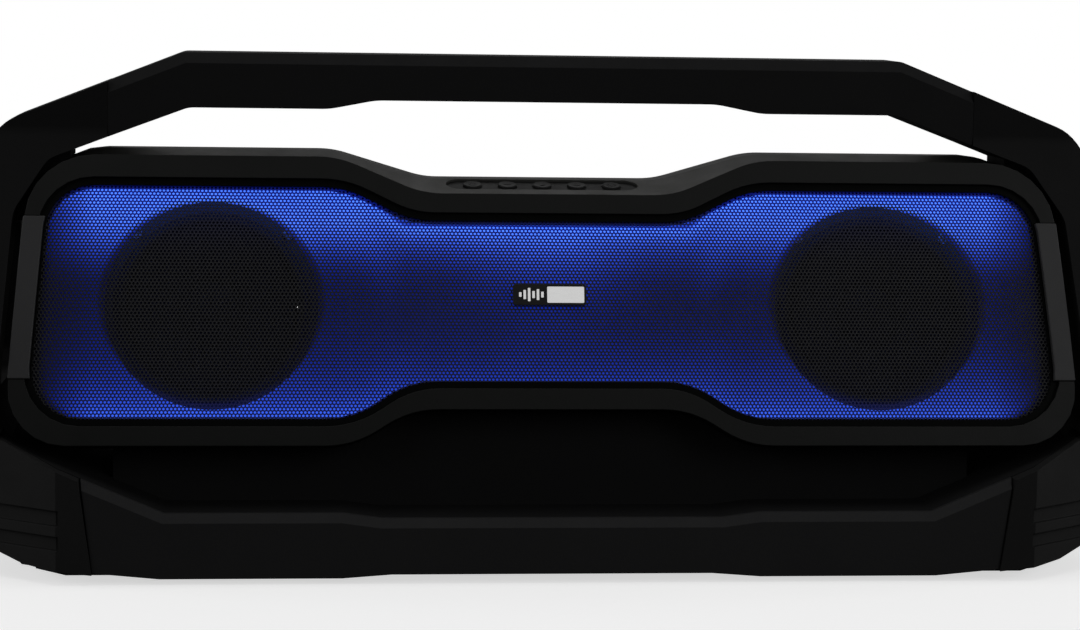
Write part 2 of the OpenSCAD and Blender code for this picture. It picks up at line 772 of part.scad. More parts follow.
module radiator_plate() {
  rear() translate([radiator_x, radiator_y, 0]) rotate_extrude()
    polygon([[0, -3], [plate_r - 3, -3], [plate_r, -1.8], [plate_r, -0.6], [plate_r - 4, 1], [16, 1],
             [13, 0], [0, 0]]);
}

module right_radiator_plate() { color([0.16, 0.16, 0.17]) mirror([1, 0, 0]) radiator_plate(); }
module left_radiator_plate() { color([0.16, 0.16, 0.17]) radiator_plate(); }

// ---------------------------------------------------------------- port

port_drop = 6;
socket_x = [-27, -6, 12, 29];
hinge_y = port_y - port_h / 2 - 3.2;
hinge_z = 3.2;
pin_r = 1;
ear_in = 27;
ear_out = 32;
cover_top = port_y + port_h / 2 + 3;

// a round-ended slot, w wide and h high, for a USB-C plug
module usb_c_slot(w, h, r) {
  polygon(rounded([[-w / 2, -h / 2, r], [w / 2, -h / 2, r], [w / 2, h / 2, r], [-w / 2, h / 2, r]], 4));
}

// sunken panel with its holes, and the two ears that hold the cover's pin
module port_panel() {
  color([0.08, 0.08, 0.08]) rear() {
    difference() {
      union() {
        translate([-port_w / 2 + 0.15, port_y - port_h / 2 + 0.15, -port_drop - 2])
          cube([port_w - 0.3, port_h - 0.3, port_drop + 2]);
        for (x = [-ear_out, ear_in]) {
          translate([x, hinge_y - 2.4, 0.05]) cube([ear_out - ear_in, 6.6, hinge_z + 2.2]);
          translate([x, port_y - port_h / 2 + 0.15, -2]) cube([ear_out - ear_in, 0.85, hinge_z + 2]);
        }
      }
      translate([-port_w / 2 + 2, port_y - port_h / 2 + 2, -port_drop]) cube([port_w - 4, port_h - 4, 40]);
      translate([socket_x[0] - 6.6, port_y - 3.1, -20]) cube([13.2, 6.2, 40]);
      translate([socket_x[1], port_y, -20]) linear_extrude(40) usb_c_slot(9.2, 3.4, 1.6);
      for (i = [2, 3]) translate([socket_x[i], port_y, -20]) cylinder(r = 3.2, h = 40);
      translate([-40, hinge_y, hinge_z]) rotate([0, 90, 0]) cylinder(r = pin_r + 0.05, h = 80);
    }
  }
}

module sockets() {
  face_z0 = -port_drop - 0.2;
  color([0.55, 0.55, 0.58]) rear() {
    translate([socket_x[0], port_y, 0]) difference() {
      translate([-6.5, -3, face_z0 - 12]) cube([13, 6, 12]);
      translate([-6, -2.5, face_z0 - 10]) cube([12, 5, 20]);
    }
    translate([socket_x[0] - 5.6, port_y + 0.2, face_z0 - 11.9]) cube([11.2, 1.6, 10]);
    translate([socket_x[1], port_y, face_z0 - 8]) linear_extrude(8) difference() {
      usb_c_slot(9, 3.2, 1.5);
      usb_c_slot(8.4, 2.6, 1.2);
    }
    for (i = [2, 3]) translate([socket_x[i], port_y, 0]) ring(3.1, i == 2 ? 1.8 : 2.6, face_z0 - 12, face_z0);
    translate([socket_x[3], port_y, face_z0 - 12]) cylinder(r = 0.9, h = 10);
  }
}

// rubber flap with its hinge knuckle and the plug that seals the opening
module port_cover() {
  knuckle = 2.1;
  color([0.05, 0.05, 0.05]) rear() difference() {
    union() {
      translate([-port_w / 2 - 2, hinge_y + 2.9, 0.15]) cube([port_w + 4, cover_top - hinge_y - 2.9, 3]);
      translate([-port_w / 2 + 2.3, port_y - port_h / 2 + 4.2, -2.2])
        cube([port_w - 4.6, port_h - 7.2, 2.4]);
      translate([-26.5, hinge_y, hinge_z]) rotate([0, 90, 0]) cylinder(r = knuckle, h = 53);
      translate([-26.5, hinge_y, hinge_z - 1.3]) cube([53, 4, 1.25]);
      // finger lip
      translate([-12, cover_top - 0.01, 0.9]) cube([24, 3, 1.6]);
    }
    translate([-40, hinge_y, hinge_z]) rotate([0, 90, 0]) cylinder(r = pin_r + 0.05, h = 80);
    // notches that turn around the ears
    for (x = [-ear_out, ear_in]) translate([x - 0.2, hinge_y, -1]) cube([ear_out - ear_in + 0.4, 5.6, 6]);
  }
}

module port_cover_pin() {
  color([0.7, 0.7, 0.7]) rear() translate([-ear_out, hinge_y, hinge_z]) rotate([0, 90, 0])
    cylinder(r = pin_r, h = 2 * ear_out);
}

// ---------------------------------------------------------------- controls

function button_x(i) = (i - 2) * button_pitch;

module control_panel() {
  color([0.05, 0.05, 0.05]) top_slope() difference() {
    pill(pill_w - 0.4, pill_d - 0.4, -2.15, -panel_drop);
    for (i = [0:4]) translate([button_x(i), 0, -10]) cylinder(r = button_d / 2 + button_gap, h = 20);
  }
}

// a round key with a dished top and a collar that keeps it behind the panel
module button(i) {
  key_r = button_d / 2;
  collar_low = -4.4;
  color([0.1, 0.1, 0.1]) top_slope() translate([button_x(i), 0, 0]) difference() {
    union() {
      translate([0, 0, collar_low]) cylinder(r = key_r, h = -collar_low - 0.2);
      translate([0, 0, -0.21]) cylinder(r1 = key_r, r2 = key_r - 0.5, h = 0.5);
      translate([0, 0, collar_low]) cylinder(r = key_r + 1, h = 1.2);
    }
    translate([0, 0, 30.1]) sphere(r = 30.2, $fn = 96);
  }
}

module power_button() button(0);
module volume_down_button() button(1);
module play_button() button(2);
module volume_up_button() button(3);
module light_button() button(4);

module button_board() {
  color([0.1, 0.35, 0.15]) top_slope() {
    pill(pill_w - 8, pill_d - 7, -9, -7.6);
    for (i = [0:4]) translate([button_x(i) - 3, -3, -7.61]) cube([6, 6, 1.6]);
    for (i = [0:4]) translate([button_x(i), 0, -6.02]) cylinder(r = 1.6, h = 0.6);
  }
}

// ---------------------------------------------------------------- electronics

module main_board() {
  color([0.1, 0.35, 0.15]) rear() {
    translate([-62, -30, -22.6]) cube([124, 58, 1.6]);
    // amplifier heat sink, capacitors, chips and cable headers
    for (i = [0:6]) translate([28 + i * 4, 4, -21.01]) cube([1.6, 20, 6]);
    translate([27, 3, -21.01]) cube([28, 22, 1.6]);
    for (i = [0:3]) translate([-50 + i * 12, 16, -21.01]) cylinder(r = 4, h = 11);
    translate([-14, -2, -21.01]) cube([12, 12, 1.4]);
    translate([8, 8, -21.01]) cube([9, 9, 1.2]);
    for (i = [0:2]) translate([-52 + i * 18, -27, -21.01]) cube([12, 6, 6]);
  }
}

cell_r = 9.2;
cell_l = 65;
pack_y = -3;
pack_z = 92;

// four cells, two by two
module battery_cells() {
  color([0.2, 0.45, 0.7]) left_and_right() for (i = [0:1])
    translate([0.7, pack_y + (i == 0 ? -9.4 : 9.4), pack_z]) rotate([0, 90, 0]) {
      cylinder(r = cell_r, h = cell_l - 1);
      cylinder(r = 3, h = cell_l);
    }
}

module battery_bracket() {
  low = 80.5;
  color([0.12, 0.12, 0.12]) difference() {
    translate([-68, pack_y - 21, low]) cube([136, 42, 14]);
    translate([-66.2, pack_y - 19, pack_z]) cube([132.4, 38, 20]);
    for (i = [0:1]) translate([-66.2, pack_y + (i == 0 ? -9.4 : 9.4), pack_z]) rotate([0, 90, 0])
      cylinder(r = cell_r + 0.2, h = 132.4);
  }
}

// a round cable that leaves a driver sideways and bends back to the main board
module speaker_cable(z) {
  cable_r = 0.9;
  bend = 8;
  driver_end = 121;
  board_end = 68;
  y_front = -5;
  y_back = 14;
  translate([board_end + bend, y_front, z]) rotate([0, 90, 0])
    cylinder(r = cable_r, h = driver_end - board_end - bend);
  translate([board_end + bend, y_front + bend, z]) rotate([0, 0, 180]) rotate_extrude(angle = 90)
    translate([bend, 0]) circle(r = cable_r);
  translate([board_end, y_front + bend, z]) rotate([-90, 0, 0])
    cylinder(r = cable_r, h = y_back - y_front - bend);
}

module speaker_cables() {
  color([0.6, 0.1, 0.1]) left_and_right() for (z = [126, 129]) speaker_cable(z);
}

base_tray();
base_plate();
front_skirt();
rear_skirt();
left_bumper();
right_bumper();
feet();
base_screws();
left_arm();
right_arm();
handle_shell();
handle_cover();
handle_screws();
front_bezel();
left_side_trim();
right_side_trim();
grille();
grille_gasket();
badge();
light_diffuser();
led_strip_top();
led_strip_bottom();
baffle();
woofer_screws();
left_woofer_basket();
left_woofer_magnet();
left_woofer_surround();
left_woofer_spider();
left_woofer_cone();
right_woofer_basket();
right_woofer_magnet();
right_woofer_surround();
right_woofer_spider();
right_woofer_cone();
rear_housing();
housing_seal();
housing_screws();
radiator_frames();
radiator_surrounds();
left_radiator_plate();
right_radiator_plate();
port_panel();
sockets();
port_cover();
port_cover_pin();
control_panel();
power_button();
volume_down_button();
play_button();
volume_up_button();
light_button();
button_board();
main_board();
battery_cells();
battery_bracket();
speaker_cables();
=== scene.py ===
"""The looks of the party speaker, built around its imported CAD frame. Metres, +Z up, the grille faces -Y."""

import json
import math

import bmesh
import bpy
import numpy as np
from mathutils import Matrix, Vector
from mathutils.bvhtree import BVHTree


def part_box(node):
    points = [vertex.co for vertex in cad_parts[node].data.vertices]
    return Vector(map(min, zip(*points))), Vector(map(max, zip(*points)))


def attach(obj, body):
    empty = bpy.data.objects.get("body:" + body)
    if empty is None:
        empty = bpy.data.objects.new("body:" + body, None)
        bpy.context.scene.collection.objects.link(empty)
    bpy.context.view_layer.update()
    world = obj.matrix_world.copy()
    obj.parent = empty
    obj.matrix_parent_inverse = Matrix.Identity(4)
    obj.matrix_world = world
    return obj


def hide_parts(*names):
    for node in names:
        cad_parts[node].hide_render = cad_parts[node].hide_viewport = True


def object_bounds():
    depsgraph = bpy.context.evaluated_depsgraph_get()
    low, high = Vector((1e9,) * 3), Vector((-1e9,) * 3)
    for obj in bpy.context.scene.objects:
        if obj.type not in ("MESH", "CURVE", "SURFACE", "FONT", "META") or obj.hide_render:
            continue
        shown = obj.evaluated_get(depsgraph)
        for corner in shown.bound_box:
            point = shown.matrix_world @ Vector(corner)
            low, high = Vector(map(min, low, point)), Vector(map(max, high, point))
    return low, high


MM = 0.001

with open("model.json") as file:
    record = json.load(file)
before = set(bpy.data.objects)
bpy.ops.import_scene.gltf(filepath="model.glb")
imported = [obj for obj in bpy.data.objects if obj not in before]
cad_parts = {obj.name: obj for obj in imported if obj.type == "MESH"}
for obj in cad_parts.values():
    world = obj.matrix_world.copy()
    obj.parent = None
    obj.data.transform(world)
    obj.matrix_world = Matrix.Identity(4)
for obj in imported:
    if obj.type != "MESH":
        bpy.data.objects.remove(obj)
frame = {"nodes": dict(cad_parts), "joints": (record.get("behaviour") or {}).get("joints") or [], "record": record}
cad_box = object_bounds()
record = frame["record"]
cad = frame["nodes"]
joints = {j["name"]: j for j in frame["joints"]}

# ------------------------------------------------------------------ frames of reference

ACROSS = Vector((1, 0, 0))
FACE_OUT = Vector(joints["left_cone_stroke"]["axis"]).normalized()
FACE_UP = Vector((0, FACE_OUT.z, -FACE_OUT.y))
FACE_R = 640 * MM  # radius of the curved grille, about an axis along X
BADGE_UP = 3 * MM  # the badge's middle above the middle of the grille
BADGE_MID = 0.72 * MM  # the middle of the badge's thickness in front of the grille
KEY_OUT = -Vector(joints["power_button_press"]["axis"]).normalized()
KEY_UP = Vector((0, KEY_OUT.z, -KEY_OUT.y))


def centre(node):
    low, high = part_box(node)
    return (low + high) / 2


FACE_MID = centre("badge") - FACE_UP * BADGE_UP - FACE_OUT * BADGE_MID


def face_point(u, v, w):
    """A point u across, v up the flat face and w in front of it."""
    return FACE_MID + ACROSS * u + FACE_UP * v + FACE_OUT * w


# ------------------------------------------------------------------ shader building


class Shader:
    """One node material. Each method adds nodes and gives back an output socket."""

    def __init__(self, name):
        self.material = bpy.data.materials.new(name)
        self.material.use_nodes = True
        self.tree = self.material.node_tree
        self.tree.nodes.clear()
        self.place = self.node("ShaderNodeTexCoord").outputs["Object"]

    def node(self, kind, inputs=None, **settings):
        made = self.tree.nodes.new(kind)
        for key, value in settings.items():
            setattr(made, key, value)
        for key, value in (inputs or {}).items():
            if isinstance(value, bpy.types.NodeSocket):
                self.tree.links.new(value, made.inputs[key])
            else:
                made.inputs[key].default_value = value
        return made

    def math(self, operation, a, b=0.0, clamp=False):
        made = self.node("ShaderNodeMath", {0: a, 1: b}, operation=operation, use_clamp=clamp)
        return made.outputs[0]

    def vector(self, operation, a, b=(0, 0, 0)):
        made = self.node("ShaderNodeVectorMath", {0: a, 1: b}, operation=operation)
        return made.outputs["Value" if operation in ("DOT_PRODUCT", "LENGTH") else "Vector"]

    def remap(self, value, low, high, to_low=0.0, to_high=1.0, smooth=False):
        kind = "SMOOTHSTEP" if smooth else "LINEAR"
        made = self.node("ShaderNodeMapRange", {0: value, 1: low, 2: high, 3: to_low, 4: to_high},
                         interpolation_type=kind, clamp=True)
        return made.outputs[0]

    def mix(self, share, a, b):
        """A colour between a at share 0 and b at share 1."""
        made = self.node("ShaderNodeMix", data_type="RGBA")
        for index, value in ((0, share), (6, a), (7, b)):
            if isinstance(value, bpy.types.NodeSocket):
                self.tree.links.new(value, made.inputs[index])
            elif index == 0:
                made.inputs[index].default_value = value
            else:
                made.inputs[index].default_value = (*value, 1.0)
        return made.outputs[2]

    def decay(self, distance, length, power=1.0):
        """Falls from 1 towards 0 as distance passes length."""
        ratio = self.math("MAXIMUM", self.math("DIVIDE", distance, length), 0.0)
        return self.math("EXPONENT", self.math("MULTIPLY", self.math("POWER", ratio, power), -1.0))

    def between(self, share, a, b):
        """A number between a at share 0 and b at share 1."""
        kept = self.math("MULTIPLY", a, self.math("SUBTRACT", 1.0, share))
        return self.math("ADD", kept, self.math("MULTIPLY", b, share))

    def hypotenuse(self, a, b):
        squares = self.math("ADD", self.math("MULTIPLY", a, a), self.math("MULTIPLY", b, b))
        return self.math("SQRT", squares)

    def stretched(self, stretch):
        return self.node("ShaderNodeMapping", {"Vector": self.place, "Scale": stretch}).outputs[0]

    def noise(self, size, detail=2.0, stretch=None, roughness=0.5):
        """Noise from 0 to 1 with features of about size metres."""
        where = self.place if stretch is None else self.stretched(stretch)
        settings = {"Vector": where, "Scale": 1.0 / size, "Detail": detail, "Roughness": roughness}
        return self.node("ShaderNodeTexNoise", settings).outputs["Fac"]

    def cells(self, size, feature="F1"):
        settings = {"Vector": self.place, "Scale": 1.0 / size}
        return self.node("ShaderNodeTexVoronoi", settings, feature=feature).outputs["Distance"]

    def bump(self, height, depth, normal=None):
        inputs = {"Height": height, "Distance": depth, "Strength": 1.0}
        if normal is not None:
            inputs["Normal"] = normal
        return self.node("ShaderNodeBump", inputs).outputs["Normal"]

    def edges(self, radius):
        """A normal that rounds the edges, and how close to an edge a point is."""
        rounded = self.node("ShaderNodeBevel", {"Radius": radius}, samples=4).outputs[0]
        flat = self.node("ShaderNodeNewGeometry").outputs["Normal"]
        near = self.math("SUBTRACT", 1.0, self.vector("DOT_PRODUCT", rounded, flat))
        return rounded, self.remap(near, 0.01, 0.25)

    def finish(self, colour, roughness, normal, **inputs):
        named = {key.replace("_", " "): value for key, value in inputs.items()}
        named.update({"Base Color": colour, "Roughness": roughness, "Normal": normal})
        surface = self.node("ShaderNodeBsdfPrincipled", named)
        self.output(surface.outputs[0])
        return surface

    def output(self, shader):
        self.tree.links.new(shader, self.node("ShaderNodeOutputMaterial").inputs["Surface"])


def shade(colour, factor):
    return tuple(min(1.0, c * factor) for c in colour)


def moulded_surface(s, colour, roughness, grain=0.45 * MM, specular=0.3):
    """Moulded plastic or rubber: spark-eroded grain, faint handling marks and slightly paler edges."""
    rounded, near_edge = s.edges(0.5 * MM)
    patches = s.noise(60 * MM, 3.0)
    base = s.mix(patches, shade(colour, 0.85), shade(colour, 1.15))
    speckle = s.noise(grain * 1.5, 1.0)
    base = s.mix(s.remap(speckle, 0.55, 0.8, 0.0, 0.35), base, shade(colour, 1.5))
    worn = s.math("MULTIPLY", near_edge, s.remap(patches, 0.3, 0.7, 0.3, 0.8))
    base = s.mix(worn, base, shade(colour, 1.5))
    marks = s.noise(18 * MM, 4.0, roughness=0.65)
    rough = s.remap(marks, 0.25, 0.75, roughness - 0.06, roughness + 0.07)
    height = s.math("ADD", s.noise(grain, 2.0), s.math("MULTIPLY", s.cells(grain * 2.2), 0.6))
    return s.finish(base, rough, s.bump(height, 0.03 * MM, rounded), Specular_IOR_Level=specular)


def moulded(name, colour, roughness, **details):
    s = Shader(name)
    moulded_surface(s, colour, roughness, **details)
    return s.material


def bezel_with_shaded_ledge(name, colour):
    """Moulded plastic with painted shade on the recessed ledge round the grille: a darker colour and a weaker
    reflection there.
    """
    s = Shader(name)
    surface = moulded_surface(s, colour, 0.5)
    moulded_colour = surface.inputs["Base Color"].links[0].from_socket
    place = s.vector("SUBTRACT", s.place, tuple(FACE_MID - FACE_OUT * FACE_R))
    radius = s.hypotenuse(*(s.vector("DOT_PRODUCT", place, tuple(way)) for way in (FACE_UP, FACE_OUT)))
    # painted shade: inside this radius the ledge gets a darker colour and a weaker reflection, as if in shadow
    clear_of_ledge_shade = s.remap(radius, FACE_R + 2.2 * MM, FACE_R + 3.4 * MM, smooth=True)
    s.tree.links.new(s.mix(clear_of_ledge_shade, shade(colour, 0.6), moulded_colour), surface.inputs["Base Color"])
    s.tree.links.new(s.remap(clear_of_ledge_shade, 0, 1, 0.05, 0.3), surface.inputs["Specular IOR Level"])
    return s.material


def metal(name, colour, roughness, brushed=(1, 1, 1), metallic=1.0, glow=0.0):
    """Bare, plated or brushed metal with fine scratches along one direction and dull patches."""
    s = Shader(name)
    rounded, near_edge = s.edges(0.15 * MM)
    scratches = s.noise(0.3 * MM, 4.0, stretch=brushed)
    patches = s.noise(12 * MM, 3.0)
    base = s.mix(scratches, shade(colour, 0.8), shade(colour, 1.2))
    base = s.mix(s.math("MULTIPLY", near_edge, 0.6), base, shade(colour, 1.35))
    rough = s.math("ADD", s.remap(patches, 0.3, 0.7, roughness - 0.05, roughness + 0.08),
                   s.remap(scratches, 0.3, 0.7, -0.04, 0.04))
    surface = s.finish(base, rough, s.bump(scratches, 0.01 * MM, rounded), Metallic=metallic)
    # painted light: glow makes the metal emit of its own; it is used on the badge's pale panel
    surface.inputs["Emission Strength"].default_value = glow
    return s.material


def powder_coat(name, colour, roughness):
    """Powder-coated sheet: orange-peel texture over metal."""
    s = Shader(name)
    peel = s.noise(0.5 * MM, 2.0)
    base = s.mix(s.noise(40 * MM, 2.0), shade(colour, 0.85), shade(colour, 1.15))
    rough = s.remap(s.noise(9 * MM, 3.0), 0.3, 0.7, roughness - 0.05, roughness + 0.07)
    s.finish(base, rough, s.bump(peel, 0.02 * MM), Specular_IOR_Level=0.35)
    return s.material


def grille_coat_with_painted_glow(name, colour):
    """Powder-coated sheet with a painted blue glow: the metal emits light of its own, stronger where the light
    panel behind it is bright, standing in for the bloom of that light round the holes.
    """
    s = Shader(name)
    peel = s.noise(0.4 * MM, 2.0)
    base = s.mix(s.noise(40 * MM, 2.0), shade(colour, 0.85), shade(colour, 1.15))
    rough = s.remap(s.noise(9 * MM, 3.0), 0.3, 0.7, 0.45, 0.57)
    surface = s.finish(base, rough, s.bump(peel, 0.02 * MM), Specular_IOR_Level=0.35)
    # painted light: blue emission on the grille metal, following the light panel's glow
    level = panel_light(s)
    strength = s.math("MULTIPLY", s.math("MULTIPLY", level, level), PAINTED_GLOW_GAIN)
    surface.inputs["Emission Color"].default_value = (0.0, 0.03, 1.0, 1.0)
    s.tree.links.new(strength, surface.inputs["Emission Strength"])
    return s.material


def pulp(name, colour):
    """Pressed paper pulp of a speaker cone: short tangled fibres."""
    s = Shader(name)
    fibres = s.noise(1.2 * MM, 6.0, roughness=0.75)
    base = s.mix(fibres, shade(colour, 0.6), shade(colour, 1.5))
    rough = s.remap(s.noise(6 * MM), 0.3, 0.7, 0.82, 0.95)
    s.finish(base, rough, s.bump(fibres, 0.12 * MM), Specular_IOR_Level=0.2)
    return s.material


def cloth(name, colour):
    """Resin-soaked woven cloth of a spider."""
    s = Shader(name)
    threads = 0.0
    for direction in ("X", "Z"):
        wave = s.node("ShaderNodeTexWave", {"Vector": s.place, "Scale": 1 / (2.4 * MM), "Distortion": 0.4},
                      bands_direction=direction).outputs["Fac"]
        threads = s.math("ADD", threads, wave)
    weave = s.math("MULTIPLY", threads, 0.5)
    base = s.mix(weave, shade(colour, 0.65), shade(colour, 1.2))
    rough = s.remap(s.noise(5 * MM), 0.3, 0.7, 0.7, 0.85)
    s.finish(base, rough, s.bump(weave, 0.1 * MM), Sheen_Weight=0.2)
    return s.material


def foam(name, colour):
    """Closed-cell foam."""
    s = Shader(name)
    pores = s.cells(0.8 * MM)
    base = s.mix(pores, shade(colour, 0.6), shade(colour, 1.6))
    rough = s.remap(s.noise(4 * MM), 0.3, 0.7, 0.88, 0.98)
    s.finish(base, rough, s.bump(pores, 0.15 * MM), Specular_IOR_Level=0.1)
    return s.material


def ferrite(name, colour):
    """Sintered ferrite between zinc-plated plates: grainy and slightly glossy."""
    s = Shader(name)
    grit = s.noise(0.7 * MM, 5.0)
    base = s.mix(grit, shade(colour, 0.6), shade(colour, 1.5))
    rough = s.remap(s.noise(10 * MM, 3.0), 0.3, 0.7, 0.42, 0.6)
    s.finish(base, rough, s.bump(grit, 0.04 * MM), Metallic=0.6)
    return s.material


def solder_mask(name, colour):
    """Circuit board: green mask over copper tracks, with pads."""
    s = Shader(name)
    tracks = s.node("ShaderNodeTexBrick", {"Vector": s.place, "Scale": 260.0, "Mortar Size": 0.03,
                                           "Color1": (1, 1, 1, 1), "Color2": (0.7, 0.7, 0.7, 1),
                                           "Mortar": (0, 0, 0, 1)}).outputs["Color"]
    base = s.mix(tracks, shade(colour, 1.9), colour)
    pads = s.remap(s.cells(2.6 * MM), 0.14, 0.1)
    base = s.mix(pads, base, (0.7, 0.65, 0.5))
    rough = s.remap(s.noise(8 * MM, 3.0), 0.3, 0.7, 0.28, 0.42)
    s.finish(base, rough, s.bump(tracks, 0.03 * MM), Coat_Weight=0.3)
    return s.material


def glossy(name, colour, roughness):
    """Thin plastic film or insulation with slight wrinkles."""
    s = Shader(name)
    wrinkles = s.noise(7 * MM, 3.0, stretch=(0.4, 1.6, 1.6))
    base = s.mix(s.noise(25 * MM), shade(colour, 0.85), shade(colour, 1.15))
    rough = s.remap(s.noise(3 * MM, 3.0), 0.3, 0.7, roughness - 0.05, roughness + 0.08)
    s.finish(base, rough, s.bump(wrinkles, 0.12 * MM))
    return s.material


# the light panel's outline, as distances from the middle of the face
WAIST_X, WING_X = 66 * MM, 93 * MM
WAIST, WING_TOP, WING_BOTTOM, LIT_SIDE = 38.7 * MM, 55 * MM, 56.5 * MM, 239 * MM
CORNER = 25 * MM
DRIVER_X, DRIVER_UP, DRIVER_R, DRIVER_FLAT = 159 * MM, 0.5 * MM, 53 * MM, 1.09
DEEP_BLUE, BRIGHT_BLUE = (0.008, 0.04, 1.0), (0.06, 0.18, 1.0)
LIGHT_GAIN = 2.7
# strength of the painted blue glow on the grille metal
PAINTED_GLOW_GAIN = 0.45


def panel_glow(s, u, v):
    """The glow without shadows: strongest along the top edge, weaker along the bottom edge."""
    wing = s.remap(u, WAIST_X, WING_X, smooth=True)
    from_top = s.math("SUBTRACT", s.remap(wing, 0, 1, WAIST, WING_TOP), v)
    from_bottom = s.math("ADD", s.remap(wing, 0, 1, WAIST, WING_BOTTOM), v)
    reach = s.remap(u, 0, 60 * MM, 19 * MM, 11 * MM, smooth=True)
    band = s.remap(from_top, 0.3 * MM, 2.5 * MM, 0.3, 1.0, smooth=True)
    top_middle = s.math("MULTIPLY", s.math("MULTIPLY", s.decay(from_top, reach, 1.15), 0.66), band)
    top_wing = s.math("MULTIPLY", s.decay(from_top, 30 * MM, 3.0), 0.56)
    lower_middle = s.math("MULTIPLY", s.decay(from_bottom, 15 * MM), 0.17)
    lower_wing = s.math("MULTIPLY", s.decay(from_bottom, 16 * MM), 0.40)
    edges = s.math("ADD", s.between(wing, top_middle, top_wing), s.between(wing, lower_middle, lower_wing))
    return s.math("ADD", edges, 0.03)


def panel_shadows(s, u, v):
    """Factors that darken the glow towards the sides, round the corners and beside the driver openings."""
    over_x = s.math("MAXIMUM", s.math("SUBTRACT", u, LIT_SIDE - CORNER), 0.0)
    over_y = s.math("MAXIMUM", s.math("SUBTRACT", s.math("ABSOLUTE", v), WING_TOP - CORNER), 0.0)
    above_driver = s.math("MULTIPLY", s.math("SUBTRACT", v, DRIVER_UP), DRIVER_FLAT)
    from_driver = s.hypotenuse(s.math("SUBTRACT", u, DRIVER_X), above_driver)
    return (s.remap(u, 214 * MM, LIT_SIDE, 1.0, 0.0),
            s.remap(s.hypotenuse(over_x, over_y), 23 * MM, 28.5 * MM, 1.0, 0.0, smooth=True),
            s.remap(from_driver, DRIVER_R - 2 * MM, DRIVER_R + 1.5 * MM, 0.25, 1.0, smooth=True))


def panel_light(s):
    """How brightly the light panel glows at a point of the face."""
    place = s.vector("SUBTRACT", s.place, tuple(FACE_MID))
    u = s.math("ABSOLUTE", s.node("ShaderNodeSeparateXYZ", {0: place}).outputs[0])
    v = s.vector("DOT_PRODUCT", place, tuple(FACE_UP))
    level = panel_glow(s, u, v)
    for factor in panel_shadows(s, u, v):
        level = s.math("MULTIPLY", level, factor)
    return level


def light_panel(name, colour):
    """Edge-lit acrylic: a milky sheet with an even micro-prism texture and the glow of its diodes."""
    s = Shader(name)
    level = panel_light(s)
    cloudy = s.remap(s.noise(16 * MM, 2.0), 0.3, 0.7, 0.92, 1.08)
    glow = s.mix(s.math("MULTIPLY", level, 2.0, clamp=True), DEEP_BLUE, BRIGHT_BLUE)
    front = s.math("SUBTRACT", 1.0, s.node("ShaderNodeNewGeometry").outputs["Backfacing"])
    strength = s.math("MULTIPLY", s.math("MULTIPLY", level, cloudy), s.math("MULTIPLY", front, LIGHT_GAIN))
    prisms = s.cells(0.9 * MM)
    rough = s.remap(s.noise(5 * MM), 0.3, 0.7, 0.35, 0.5)
    base = s.mix(prisms, shade(colour, 0.5), colour)
    surface = s.finish(base, rough, s.bump(prisms, 0.05 * MM))
    s.tree.links.new(glow, surface.inputs["Emission Color"])
    s.tree.links.new(strength, surface.inputs["Emission Strength"])
    return s.material


def diodes(name):
    """White board with lit diodes that stand above it."""
    s = Shader(name)
    depth = s.vector("DOT_PRODUCT", s.vector("SUBTRACT", s.place, tuple(FACE_MID)), tuple(FACE_OUT))
    diode = s.remap(depth, -14.9 * MM, -14.7 * MM)
    grain = s.noise(0.6 * MM, 2.0)
    base = s.mix(diode, (0.75, 0.76, 0.78), (0.95, 0.85, 0.4))
    rough = s.remap(grain, 0.3, 0.7, 0.35, 0.5)
    surface = s.finish(base, rough, s.bump(grain, 0.02 * MM))
    surface.inputs["Emission Color"].default_value = (0.15, 0.3, 1.0, 1.0)
    s.tree.links.new(s.math("MULTIPLY", diode, 4.0), surface.inputs["Emission Strength"])
    return s.material


